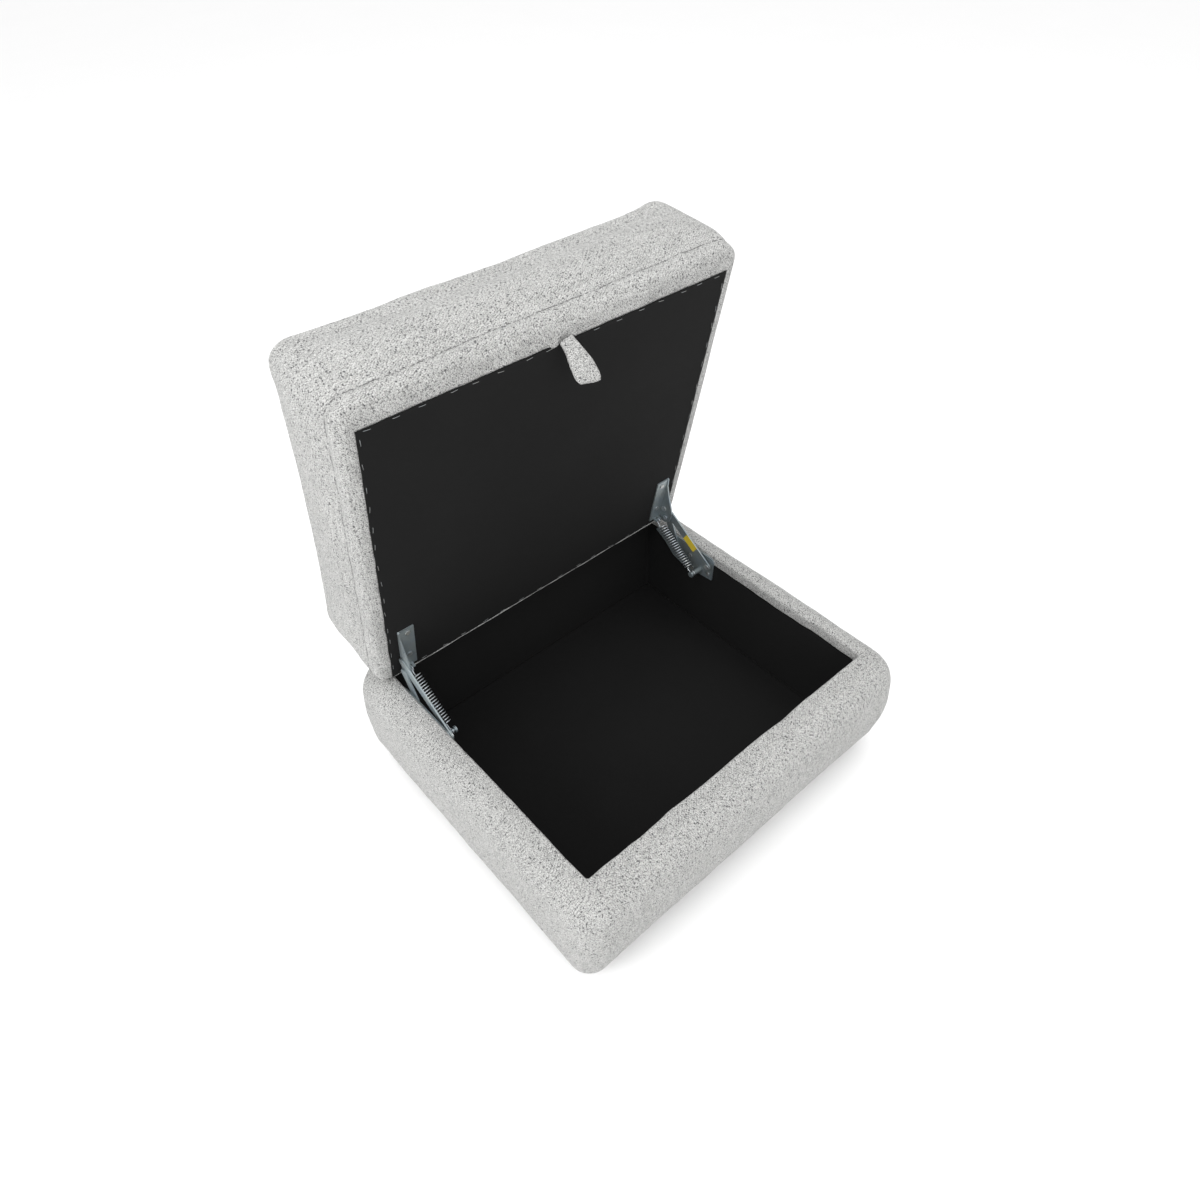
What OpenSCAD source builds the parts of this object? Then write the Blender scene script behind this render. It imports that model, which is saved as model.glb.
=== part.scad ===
// Upholstered ottoman with a storage box and a lid on sprung four-bar hinges.
// Drawn with the lid open on its stop. +X is to the right, +Y to the back, +Z up.
// Before it is placed, every part is drawn with y = 0 on the hinge line and z = 0 on top of the rim.

/* [Base] */
// Width of the base over the upholstery
base_w = 650; // [560:1:720]
// Front face of the base, measured forward from the hinge line
base_front = 511.6; // [470:0.1:560]
// Back face of the base, measured back from the hinge line
base_back = 59.6; // [50:0.1:70]
// Height of the rim over the floor
base_h = 213; // [180:1:260]
// Corner radius of the base in plan
base_corner_r = 67; // [66:1:80]
// Rounding of the rim's outer edge
rim_r = 32; // [20:1:32]
// Rounding of the base's lower edge
foot_r = 30; // [15:1:30]
// Height of the glides under the upholstery
glide_h = 6; // [4:1:10]

/* [Opening] */
// Half of the width of the opening
opening_half_w = 277; // [240:1:280]
// Front edge of the opening, measured forward from the hinge line
opening_front = 454.8; // [420:0.1:460]
// Back edge of the opening, measured back from the hinge line
opening_back = 14; // [12:0.5:16]
// Depth that the upholstery reaches down inside the opening
cover_wrap = 20; // [15:1:30]

/* [Frame] */
// Thickness of the plywood frame panels
panel_t = 15; // [12:1:18]
// Thickness of the plywood floor
floor_t = 9; // [6:1:12]
// Underside of the floor over the ground
floor_z = 22; // [20:1:30]
// Padding between a panel's top edge and the cover
rim_pad = 10; // [6:1:14]

/* [Upholstery] */
// Thickness of the cover fabric
cover_t = 2.5; // [1.5:0.1:3]
// Thickness of the black lining cloth
lining_t = 0.7; // [0.5:0.1:1]
// Gap left between layers that only touch
layer_gap = 0.2; // [0.1:0.05:0.3]

/* [Lid] */
// Width of the lid over the upholstery
lid_w = 617; // [560:1:640]
// Back edge of the lid behind the lid's own hinge line
lid_back = 10.5; // [8:0.5:12]
// Front edge of the lid, measured from the lid's own hinge line
lid_front = 528.2; // [480:0.1:535]
// Thickness of the lid
lid_t = 166; // [130:1:180]
// Corner radius of the lid in plan
lid_corner_r = 60; // [58:1:70]
// Rounding of the seat's edge
seat_r = 28; // [15:1:28]
// Rounding of the lid's lower edge
lid_foot_r = 22; // [20:1:24]
// Height of the seam over the lid's underside
seam_h = 26; // [24:1:50]
// Lid angle at the open stop
lid_angle = 78.56; // [75:0.01:82]
// Width of the lid's black lining
lid_lining_w = 570; // [520:1:580]
// Front edge of the lid's black lining, measured from the lid's hinge line
lid_lining_front = 494; // [450:1:500]

/* [Hinge] */
// Thickness of the hinge steel
steel_t = 2.5; // [2:0.1:3]
// Radius of the pivot rivets
rivet_r = 3; // [2.5:0.1:4]
// Radial clearance of an arm on its rivet
rivet_gap = 0.05; // [0.02:0.01:0.08]
// Outer radius of the spring
spring_r = 7.5; // [6:0.1:8]
// Wire radius of the spring
wire_r = 1.1; // [0.9:0.05:1.3]

/* [Hidden] */
$fn = 64;
EPS = 0.01;

// Lid hinge line at the open stop
lid_y = -17.8;
lid_z = 5.9;

// Fixed pivots in the side plane, as [y, z]
arm_pivot = [-142, -26];
link_pivot = [-69.7, -42.2];
spring_post_at = [-122, -46];
// Moving pivots on the lid, as [distance from the hinge line, height over the underside]
arm_pin = [40, -9.5];
link_pin = [24, -17];
// Hole in the bracket's ear for the upper hook of the spring, in the same measures
hook_hole = [17.8, -6.8];

// Layers of the right hinge, measured from the middle plane
run_gap = 0.3;
plate_x = opening_half_w - layer_gap - steel_t;
link_x = plate_x - run_gap - steel_t;
arm_x = link_x - run_gap - steel_t;
bracket_x = arm_x - run_gap - steel_t;
head_t = 1.4;
head_r = 5.2;
spring_x = bracket_x - head_t - run_gap - spring_r;
flange_x = bracket_x - 23.5;

// Lid flange and its screws, along the lid
flange_low = 16;
flange_high = 108;
flange_screws = [44, 98];
screw_x = (flange_x + bracket_x) / 2 - 1;
wall_screws = [[-141, -46], [-104, -55], [-97, -30]];

// Base layers
base_d = base_front + base_back;
base_mid = (base_back - base_front) / 2;
rim_top = 0;
ground = -base_h;
cover_low = ground + glide_h;
block_low = cover_low + cover_t + layer_gap;
panel_low = block_low + 10;
panel_high = rim_top - cover_t - rim_pad;
inner_x = opening_half_w + cover_t;
inner_front = -(opening_front + cover_t);
inner_back = opening_back + cover_t;
outer_x = inner_x + panel_t;
outer_front = inner_front - panel_t;
outer_back = inner_back + panel_t;
floor_low = ground + floor_z;
floor_high = floor_low + floor_t;

// Lid layers
lid_len = lid_front + lid_back;
lid_mid = (lid_back - lid_front) / 2;
wadding_t = 8;
board_t = 15;
board_low = cover_t + layer_gap;
board_high = board_low + board_t;
lid_lining_back = 6;
lid_lining_l = lid_lining_front - lid_lining_back;
// How far the lining laps over the turned-under cover
lining_lap = 19;
lining_gap = 0.1;
lining_low = -lining_gap - lining_t;

// Staples and screws
staple_w = 10;
staple_wire = 0.5;
staple_pitch = 38;
screw_r = 2;

// The box round the whole opened piece is centred on the origin
lid_reach = lid_y + (lid_back - seat_r) * cos(lid_angle) + (lid_t - seat_r) * sin(lid_angle) + seat_r;
centre_y = (lid_reach - base_front) / 2;

// ---- Placing ----

// From the hinge line and rim top to the part's own frame
module place() {
    translate([0, -centre_y, base_h]) children();
}

// From the closed lid's frame, with y = -(distance from its hinge line), to the open stop
module on_lid() {
    translate([0, lid_y, lid_z]) rotate([-lid_angle, 0, 0]) children();
}

module on_side(side) {
    if (side < 0) mirror([1, 0, 0]) children();
    else children();
}

module both_sides() {
    for (side = [-1, 1]) on_side(side) children();
}

// Where a lid point is at the open stop, as [y, z]
function lid_point(p) = [
    lid_y - p[0] * cos(lid_angle) + p[1] * sin(lid_angle),
    lid_z + p[0] * sin(lid_angle) + p[1] * cos(lid_angle)
];

// ---- Shapes ----

// A box with rounded plan corners, a rounded upper edge and a rounded lower edge
module soft_block(w, d, low, high, corner_r, upper_r, lower_r) {
    module edge() {
        difference() {
            translate([0, low]) square([corner_r, high - low]);
            translate([corner_r - upper_r, high - upper_r]) edge_cut(upper_r, 1);
            translate([corner_r - lower_r, low + lower_r]) edge_cut(lower_r, -1);
        }
    }
    module edge_cut(r, up) {
        mirror([0, up < 0 ? 1 : 0])
            difference() {
                square([r + 1, r + 1]);
                circle(r);
            }
    }
    half_w = w / 2 - corner_r;
    half_d = d / 2 - corner_r;
    for (turn = [0, 2]) rotate([0, 0, turn * 90]) {
        translate([half_w, half_d, 0]) rotate_extrude(angle = 90) edge();
        translate([half_w, half_d, 0]) rotate([90, 0, 0]) linear_extrude(2 * half_d) edge();
    }
    for (turn = [1, 3]) rotate([0, 0, turn * 90]) {
        translate([half_d, half_w, 0]) rotate_extrude(angle = 90) edge();
        translate([half_d, half_w, 0]) rotate([90, 0, 0]) linear_extrude(2 * half_w) edge();
    }
    translate([-half_w, -half_d, low]) cube([2 * half_w, 2 * half_d, high - low]);
}

// The base's outer shape, drawn in by inset
module base_block(inset) {
    translate([0, base_mid, 0])
        soft_block(base_w - 2 * inset, base_d - 2 * inset, cover_low + inset, rim_top - inset,
            base_corner_r - inset, rim_r - inset, foot_r - inset);
}

// The lid's outer shape, drawn in by inset
module lid_block(inset) {
    translate([0, lid_mid, 0])
        soft_block(lid_w - 2 * inset, lid_len - 2 * inset, inset, lid_t - inset,
            lid_corner_r - inset, seat_r - inset, lid_foot_r - inset);
}

// A rectangle about the origin with rounded corners
module rounded_outline(w, d, r) {
    square([w - 2 * r, d], center = true);
    square([w, d - 2 * r], center = true);
    for (x = [-1, 1], y = [-1, 1]) translate([x * (w / 2 - r), y * (d / 2 - r)]) circle(r);
}

// A box given by its two corners
module span(a, b) {
    translate(a) cube(b - a);
}

// The opening, grown sideways by grow, from low to high
module opening_prism(grow, low, high) {
    span([-opening_half_w - grow, -opening_front - grow, low],
        [opening_half_w + grow, opening_back + grow, high]);
}

// A flat plate in the side plane: its outline is drawn as [y, z]
module side_plate(x, t) {
    translate([x, 0, 0]) rotate([90, 0, 90]) linear_extrude(t) children();
}

// A pin across the side plane from x0 to x1
module cross_pin(p, r, x0, x1) {
    translate([x0, p[0], p[1]]) rotate([0, 90, 0]) cylinder(r = r, h = x1 - x0);
}

// A bar with round ends of different radii
module taper_bar(a, ra, b, rb) {
    along = atan2(b[1] - a[1], b[0] - a[0]);
    lean = acos((ra - rb) / norm(b - a));
    // Just inside the round ends, so that the sides cross them instead of grazing them
    function side(c, r, turn) = c + (r - 0.03) * [cos(along + turn), sin(along + turn)];
    translate(a) circle(ra);
    translate(b) circle(rb);
    polygon([side(a, ra, lean), side(a, ra, -lean), side(b, rb, -lean), side(b, rb, lean)]);
}

// Evenly spaced places along a length, about its middle
function spread(length, pitch) =
    let (n = floor((length - staple_w) / pitch))
    [for (i = [0:n]) (i - n / 2) * pitch];

// A ring of staples just inside a rectangle, clear of its corners, with their backs at height z
module staple_ring(w, d, z, edge, corner) {
    for (x = spread(w - 2 * corner, staple_pitch), side = [-1, 1])
        translate([x - staple_w / 2, side * (d / 2 - edge) - staple_wire / 2, z])
            cube([staple_w, staple_wire, staple_wire]);
    for (y = spread(d - 2 * corner, staple_pitch), side = [-1, 1])
        translate([side * (w / 2 - edge) - staple_wire / 2, y - staple_w / 2, z])
            cube([staple_wire, staple_w, staple_wire]);
}

// ---- Base frame ----

module frame_front_panel() {
    color("burlywood") place() difference() {
        span([-inner_x, outer_front, panel_low], [inner_x, inner_front, panel_high]);
        frame_screw_bodies();
    }
}

module frame_back_panel() {
    color("burlywood") place() difference() {
        span([-inner_x, inner_back, panel_low], [inner_x, outer_back, panel_high]);
        frame_screw_bodies();
    }
}

module side_panel() {
    difference() {
        span([inner_x, outer_front, panel_low], [outer_x, outer_back, panel_high]);
        frame_screw_bodies();
        wall_screw_bodies();
    }
}

module frame_left_panel() {
    color("burlywood") place() on_side(-1) side_panel();
}

module frame_right_panel() {
    color("burlywood") place() on_side(1) side_panel();
}

// The shanks of the screws that hold the right hinge plate
module wall_screw_bodies() {
    for (p = wall_screws) cross_pin(p, screw_r, plate_x, inner_x + 11);
}

// Screws through the side panels into the ends of the front and back panels
function frame_screw_places() = [
    for (y = [(outer_front + inner_front) / 2, (inner_back + outer_back) / 2],
        z = [panel_low + 25, (panel_low + panel_high) / 2, panel_high - 25]) [y, z]
];

module frame_screw_bodies() {
    both_sides()
        for (p = frame_screw_places()) cross_pin(p, screw_r, outer_x - 45, outer_x);
}

module frame_screws() {
    color("darkgray") place() frame_screw_bodies();
}

module floor_board() {
    color("tan") place()
        span([-inner_x + layer_gap, inner_front + layer_gap, floor_low],
            [inner_x - layer_gap, inner_back - layer_gap, floor_high]);
}

block_w = 48;

// The middles of the four corner blocks, which the glides are nailed to
function glide_places() = [
    for (x = [-1, 1] * (inner_x - layer_gap - block_w / 2),
        y = [inner_front + layer_gap + block_w / 2, inner_back - layer_gap - block_w / 2]) [x, y]
];

module corner_blocks() {
    color("burlywood") place()
        for (p = glide_places())
            translate([p[0], p[1], 0])
                difference() {
                    span([-block_w / 2, -block_w / 2, block_low], [block_w / 2, block_w / 2, floor_low]);
                    translate([0, 0, cover_low]) cylinder(r = nail_r, h = nail_l);
                }
}

glide_r = 14;
nail_r = 1.5;
nail_l = 12;

module glides() {
    color("black") place()
        for (p = glide_places())
            translate([p[0], p[1], ground]) difference() {
                rotate_extrude() difference() {
                    square([glide_r, glide_h - lining_t]);
                    translate([glide_r, 0]) rotate([0, 0, 45]) square(2, center = true);
                }
                translate([0, 0, -EPS]) cylinder(r = nail_r, h = glide_h);
            }
}

module glide_nails() {
    color("silver") place()
        for (p = glide_places())
            translate([p[0], p[1], ground + 1]) cylinder(r = nail_r, h = glide_h + nail_l - 2);
}

// ---- Base upholstery ----

// The space between the frame and the cover
module foam_space() {
    difference() {
        base_block(cover_t + layer_gap);
        opening_prism(cover_t + layer_gap, ground, rim_top);
        span([-outer_x - layer_gap, outer_front - layer_gap, panel_low - layer_gap],
            [outer_x + layer_gap, outer_back + layer_gap, panel_high + layer_gap]);
    }
}

module foam_slice(from, to, half_w) {
    intersection() {
        foam_space();
        span([-half_w, from, ground], [half_w, to, rim_top]);
    }
}

module foam_front() {
    color("ivory") place() foam_slice(-base_front, inner_front - layer_gap, base_w);
}

module foam_back() {
    color("ivory") place() foam_slice(inner_back + layer_gap, base_back, base_w);
}

module foam_side() {
    intersection() {
        foam_space();
        span([0, inner_front, ground], [base_w, inner_back, rim_top]);
    }
}

module foam_left() {
    color("ivory") place() on_side(-1) foam_side();
}

module foam_right() {
    color("ivory") place() on_side(1) foam_side();
}

// Width of the cover turned under the base
hem_in = 45;

module base_cover() {
    color("gainsboro") place() difference() {
        union() {
            difference() {
                base_block(0);
                base_block(cover_t);
            }
            opening_prism(cover_t, rim_top - cover_wrap, rim_top);
        }
        opening_prism(0, ground, rim_top + 1);
        translate([0, base_mid, 0])
            span([-base_w / 2 + hem_in, -base_d / 2 + hem_in, ground],
                [base_w / 2 - hem_in, base_d / 2 - hem_in, cover_low + 2 * cover_t]);
    }
}

module wall_lining() {
    color("black") place() difference() {
        span([-inner_x + layer_gap, inner_front + layer_gap, floor_high + lining_t],
            [inner_x - layer_gap, inner_back - layer_gap, rim_top - cover_wrap - layer_gap]);
        span([-inner_x + layer_gap + lining_t, inner_front + layer_gap + lining_t, floor_high],
            [inner_x - layer_gap - lining_t, inner_back - layer_gap - lining_t, rim_top]);
        both_sides() wall_screw_bodies();
    }
}

module floor_lining() {
    color("black") place()
        span([-inner_x + layer_gap, inner_front + layer_gap, floor_high],
            [inner_x - layer_gap, inner_back - layer_gap, floor_high + lining_t]);
}

dust_in = 35;
dust_w = base_w - 2 * dust_in;
dust_d = base_d - 2 * dust_in;
dust_corner_r = 30;

module dust_cover() {
    color("black") place() difference() {
        translate([0, base_mid, cover_low - lining_t]) linear_extrude(lining_t)
            rounded_outline(dust_w, dust_d, dust_corner_r);
        for (p = glide_places())
            translate([p[0], p[1], ground]) cylinder(r = nail_r, h = base_h);
    }
}

module dust_cover_staples() {
    color("silver") place() translate([0, base_mid, 0])
        staple_ring(dust_w, dust_d, cover_low - lining_t - staple_wire, 7, dust_corner_r);
}

// ---- Lid ----

// How far the foam block and the board stay inside the cover's outer face
foam_in = cover_t + wadding_t + 2 * layer_gap;
board_in = 20;

module board_outline(grow) {
    translate([0, lid_mid])
        rounded_outline(lid_w - 2 * board_in + 2 * grow, lid_len - 2 * board_in + 2 * grow,
            lid_corner_r - board_in + grow);
}

module lid_board() {
    color("burlywood") place() on_lid() difference() {
        translate([0, 0, board_low]) linear_extrude(board_t) board_outline(0);
        lid_screw_bodies();
    }
}

// The foam block's shape over the board, drawn in by inset
module over_board(inset) {
    difference() {
        lid_block(inset);
        span([-lid_w, -lid_front, -1], [lid_w, lid_back, board_high + layer_gap]);
    }
}

module lid_foam() {
    color("ivory") place() on_lid() over_board(foam_in);
}

module lid_wadding() {
    color("white") place() on_lid() difference() {
        lid_block(cover_t + layer_gap);
        over_board(foam_in - layer_gap);
        translate([0, 0, -1]) linear_extrude(board_high + layer_gap + 1 + EPS) board_outline(layer_gap);
    }
}

module lid_cover_shell() {
    difference() {
        lid_block(0);
        lid_block(cover_t);
        span([-lid_lining_w / 2 + lining_lap, -lid_lining_front + lining_lap, -1],
            [lid_lining_w / 2 - lining_lap, -lid_lining_back - lining_lap, 2 * cover_t]);
    }
}

module lid_cover_top() {
    color("gainsboro") place() on_lid() intersection() {
        lid_cover_shell();
        span([-lid_w, -lid_front - 1, seam_h], [lid_w, lid_back + 1, lid_t + 1]);
    }
}

module lid_cover_band() {
    color("lightgray") place() on_lid() intersection() {
        lid_cover_shell();
        span([-lid_w, -lid_front - 1, -1], [lid_w, lid_back + 1, seam_h]);
    }
}

module lid_lining() {
    color("black") place() on_lid()
        difference() {
            span([-lid_lining_w / 2, -lid_lining_front, lining_low],
                [lid_lining_w / 2, -lid_lining_back, -lining_gap]);
            lid_screw_bodies();
        }
}

module lid_lining_staples() {
    color("silver") place() on_lid() translate([0, -(lid_lining_front + lid_lining_back) / 2, 0])
        staple_ring(lid_lining_w, lid_lining_l, lining_low - staple_wire, 6, 6);
}

tab_w = 28;
tab_t = 8;
tab_l = 62;
tab_angle = 55;
// Where the tab leaves the underside, as [y, z], and the ends of its sewn root
tab_from = [-497, lining_low - staple_wire - layer_gap];
tab_sewn = -505.5;

// A doubled strip sewn under the lid's front edge, standing out from it by its own stiffness
module pull_tab() {
    along = [cos(tab_angle), -sin(tab_angle)];
    across = [-sin(tab_angle), -cos(tab_angle)];
    color("gainsboro") place() on_lid() side_plate(-tab_w / 2, tab_w)
        polygon([
            [tab_from[0], 0], tab_from, tab_from + tab_l * along, tab_from + tab_l * along + tab_t * across,
            tab_from + tab_t * across, [tab_sewn, -3], [tab_sewn, 0]
        ]);
}

// ---- Lid brackets ----

screw_l = 16;

module lid_screw_bodies() {
    both_sides()
        for (d = flange_screws)
            translate([screw_x, -d, lining_low - steel_t]) cylinder(r = screw_r, h = screw_l);
}

module lid_bracket_screws() {
    color("silver") place() on_lid() {
        lid_screw_bodies();
        both_sides()
            for (d = flange_screws)
                translate([screw_x, -d, lining_low - steel_t - head_t]) cylinder(r = 4, h = head_t);
    }
}

// The ear that the spring hooks into, and its height over the lid's underside
ear_w = 13;
ear_low = -11.4;
ear_hole_r = 2.7;

module bracket_outline() {
    difference() {
        polygon([
            [-13, lining_low], [-flange_high, lining_low], [-107, -4], [-92, -5.5], [-71, -14], [-50, -25],
            [-42, -27.5], [-30, -28], [-20, -26], [-13, -18]
        ]);
        translate([-arm_pin[0], arm_pin[1]]) circle(rivet_r);
        translate([-link_pin[0], link_pin[1]]) circle(rivet_r);
    }
}

module lid_bracket() {
    difference() {
        union() {
            side_plate(bracket_x, steel_t) bracket_outline();
            span([flange_x, -flange_high, lining_low - steel_t], [bracket_x + EPS, -flange_low, lining_low]);
            span([spring_x - ear_w / 2, -hook_hole[0] - steel_t / 2, ear_low],
                [spring_x + ear_w / 2, -hook_hole[0] + steel_t / 2, lining_low - steel_t / 2]);
        }
        lid_screw_bodies();
        translate([spring_x, -hook_hole[0] - steel_t, hook_hole[1]]) rotate([-90, 0, 0])
            cylinder(r = ear_hole_r, h = 2 * steel_t);
    }
}

module lid_bracket_left() {
    color("lightsteelblue") place() on_lid() on_side(-1) lid_bracket();
}

module lid_bracket_right() {
    color("lightsteelblue") place() on_lid() on_side(1) lid_bracket();
}

// A rivet whose head lies on the inner face x of the innermost plate
module rivet(p, x, x_end, r_head) {
    cross_pin(p, rivet_r, x, x_end);
    cross_pin(p, r_head, x - head_t, x);
}

// The long arm turns on the upper rivet. The lower rivet ends just short of the short link.
module lid_bracket_rivets() {
    color("silver") place() both_sides() {
        rivet(lid_point(arm_pin), bracket_x, arm_x + steel_t, head_r);
        rivet(lid_point(link_pin), bracket_x, arm_x + steel_t, head_r - 1);
    }
}

// ---- Hinge plates on the side walls ----

module hinge_plate() {
    side_plate(plate_x, steel_t) difference() {
        polygon([
            [-152, -14], [-146, -8], [-45, -8], [-12, -18], [-10, -24], [-32, -36], [-55, -56],
            [-75, -62], [-96, -65], [-112, -60], [-150, -56]
        ]);
        translate(arm_pivot) circle(rivet_r);
        translate(link_pivot) circle(rivet_r);
        translate(spring_post_at) circle(rivet_r);
        for (p = wall_screws) translate(p) circle(screw_r);
    }
}

module hinge_plate_left() {
    color("lightsteelblue") place() on_side(-1) hinge_plate();
}

module hinge_plate_right() {
    color("lightsteelblue") place() on_side(1) hinge_plate();
}

module hinge_plate_rivets() {
    color("silver") place() both_sides() {
        rivet(arm_pivot, arm_x - run_gap, plate_x + steel_t, head_r);
        rivet(link_pivot, link_x - run_gap, plate_x + steel_t, head_r - 1);
    }
}

module hinge_plate_screws() {
    color("silver") place() both_sides() {
        wall_screw_bodies();
        for (p = wall_screws) cross_pin(p, 3.6, plate_x - head_t, plate_x);
    }
}

// A shouldered post with a head, which the lower hook of the spring goes round
module spring_post() {
    cross_pin(spring_post_at, rivet_r, spring_x - 7, plate_x + steel_t);
    cross_pin(spring_post_at, 4.6, spring_x + 2.5, plate_x);
    cross_pin(spring_post_at, 5.2, spring_x - 7, spring_x - 3.5);
}

module spring_post_left() {
    color("silver") place() on_side(-1) spring_post();
}

module spring_post_right() {
    color("silver") place() on_side(1) spring_post();
}

// ---- Arms and links ----

arm_end_r = 7.2;
arm_top_r = 8.4;
arm_top = lid_point(arm_pin);
link_end_r = 7;
link_top_r = 8;

module long_arm() {
    side_plate(arm_x, steel_t) difference() {
        taper_bar(arm_top, arm_top_r, arm_pivot, arm_end_r);
        translate(arm_pivot) circle(rivet_r + rivet_gap);
        translate(arm_top) circle(rivet_r + rivet_gap);
    }
}

module long_arm_left() {
    color("lightsteelblue") place() on_side(-1) long_arm();
}

module long_arm_right() {
    color("lightsteelblue") place() on_side(1) long_arm();
}

label_l = 30;
label_w = 15;
label_t = 0.2;

module hinge_label() {
    middle = arm_pivot + 0.4 * (arm_top - arm_pivot);
    tilt = atan2(arm_top[1] - arm_pivot[1], arm_top[0] - arm_pivot[0]);
    color("gold") place() side_plate(arm_x - label_t, label_t)
        translate(middle) rotate([0, 0, tilt]) square([label_l, label_w], center = true);
}

module short_link() {
    side_plate(link_x, steel_t) difference() {
        taper_bar(lid_point(link_pin), link_top_r, link_pivot, link_end_r);
        translate(link_pivot) circle(rivet_r + rivet_gap);
    }
}

module short_link_left() {
    color("lightsteelblue") place() on_side(-1) short_link();
}

module short_link_right() {
    color("lightsteelblue") place() on_side(1) short_link();
}

// ---- Springs ----

hook_r = 4.2;
lower_hook_l = 14;
upper_hook_l = 12;
spring_low = spring_post_at;
spring_reach = spring_low - lid_point(hook_hole);
spring_high = lid_point(hook_hole) + hook_r * spring_reach / norm(spring_reach);
spring_len = norm(spring_high - spring_low);
spring_tilt = atan2(spring_high[1] - spring_low[1], spring_high[0] - spring_low[0]);

// The spring's own frame: +Z runs from the post to the upper hook
module on_spring() {
    translate([spring_x, spring_low[0], spring_low[1]]) rotate([spring_tilt - 90, 0, 0]) children();
}

module spring() {
    on_spring() translate([0, 0, lower_hook_l])
        rotate_extrude() translate([spring_r - 2 * wire_r, 0])
            square([2 * wire_r, spring_len - lower_hook_l - upper_hook_l]);
}

module hook_ring(z) {
    translate([0, 0, z]) rotate([0, 90, 0])
        rotate_extrude() translate([hook_r, 0]) circle(wire_r, $fn = 24);
}

// Wire from a hook's ring to the coil
module hook_shank(from, to) {
    translate([0, 0, from]) cylinder(r = wire_r, h = to - from, $fn = 24);
}

module spring_hooks() {
    color("silver") place() both_sides() on_spring() {
        hook_ring(0);
        hook_shank(hook_r, lower_hook_l);
        hook_ring(spring_len);
        hook_shank(spring_len - upper_hook_l, spring_len - hook_r);
    }
}

module spring_left() {
    color("silver") place() on_side(-1) spring();
}

module spring_right() {
    color("silver") place() on_side(1) spring();
}

frame_front_panel();
frame_back_panel();
frame_left_panel();
frame_right_panel();
frame_screws();
floor_board();
corner_blocks();
glides();
glide_nails();
foam_front();
foam_back();
foam_left();
foam_right();
base_cover();
wall_lining();
floor_lining();
dust_cover();
dust_cover_staples();
lid_board();
lid_foam();
lid_wadding();
lid_cover_top();
lid_cover_band();
lid_lining();
lid_lining_staples();
pull_tab();
hinge_plate_left();
hinge_plate_right();
hinge_plate_rivets();
hinge_plate_screws();
spring_post_left();
spring_post_right();
long_arm_left();
long_arm_right();
hinge_label();
short_link_left();
short_link_right();
lid_bracket_left();
lid_bracket_right();
lid_bracket_rivets();
lid_bracket_screws();
spring_left();
spring_right();
spring_hooks();
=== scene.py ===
import math
import random
import bpy
import numpy as np
from mathutils import Matrix, Vector, noise


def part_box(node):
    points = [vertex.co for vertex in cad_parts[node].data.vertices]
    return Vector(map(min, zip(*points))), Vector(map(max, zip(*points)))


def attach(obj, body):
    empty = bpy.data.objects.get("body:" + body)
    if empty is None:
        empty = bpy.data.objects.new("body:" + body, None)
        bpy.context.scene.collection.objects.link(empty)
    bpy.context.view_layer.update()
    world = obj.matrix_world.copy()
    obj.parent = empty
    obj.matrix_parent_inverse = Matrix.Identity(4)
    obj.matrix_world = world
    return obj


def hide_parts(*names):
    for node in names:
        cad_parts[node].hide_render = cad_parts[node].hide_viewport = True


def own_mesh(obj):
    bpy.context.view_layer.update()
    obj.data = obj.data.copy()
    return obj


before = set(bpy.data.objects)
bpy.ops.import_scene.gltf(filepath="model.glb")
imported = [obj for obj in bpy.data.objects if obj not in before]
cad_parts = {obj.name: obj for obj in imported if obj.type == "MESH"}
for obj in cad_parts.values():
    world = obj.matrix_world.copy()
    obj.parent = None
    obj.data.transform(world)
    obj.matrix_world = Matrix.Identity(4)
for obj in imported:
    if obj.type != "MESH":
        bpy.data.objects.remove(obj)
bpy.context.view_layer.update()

scene = bpy.context.scene
MM = 0.001

# ---- Places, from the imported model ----
base_lo, base_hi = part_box("base_cover")
RIM = base_hi.z                      # top of the rim
HINGE_Y = base_hi.y - 0.0596         # the hinge line that the CAD measures from
FOOT = base_lo.z                     # underside of the base's cover
# The opening: its half width and its front and back edges
OPEN_X, OPEN_FRONT, OPEN_BACK = 0.277, HINGE_Y - 0.4548, HINGE_Y + 0.014
# The lid's own frame: x across, -y from its back edge to its front, z up from its underside
LID_ANGLE = 78.56
LID = (Matrix.Translation((0, HINGE_Y - 0.0178, RIM + 0.0059))
       @ Matrix.Rotation(math.radians(-LID_ANGLE), 4, "X"))
# Its half width, how far it reaches behind and before y = 0, and its thickness
LID_X, LID_BACK, LID_FRONT, LID_T = 0.3085, 0.0105, 0.5282, 0.166
# The height of the stitching round its band
SEAM = 0.0255
# The lid's lining: its back and front edges as distances from y = 0, and its half width
LINING_BACK, LINING_FRONT, LINING_X = 0.006, 0.494, 0.285
# The lining cloth's thickness
CLOTH = 0.0006


def at(y, z):
    """A hinge point in millimetres from the hinge line and the rim, as (y, z) in the row frame."""
    return HINGE_Y + y * MM, RIM + z * MM


def lid_at(s, w):
    """A point of the lid, s from its hinge line and w over its underside, as (y, z) in the row frame."""
    p = LID @ Vector((0, -s * MM, w * MM))
    return p.y, p.z


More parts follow.
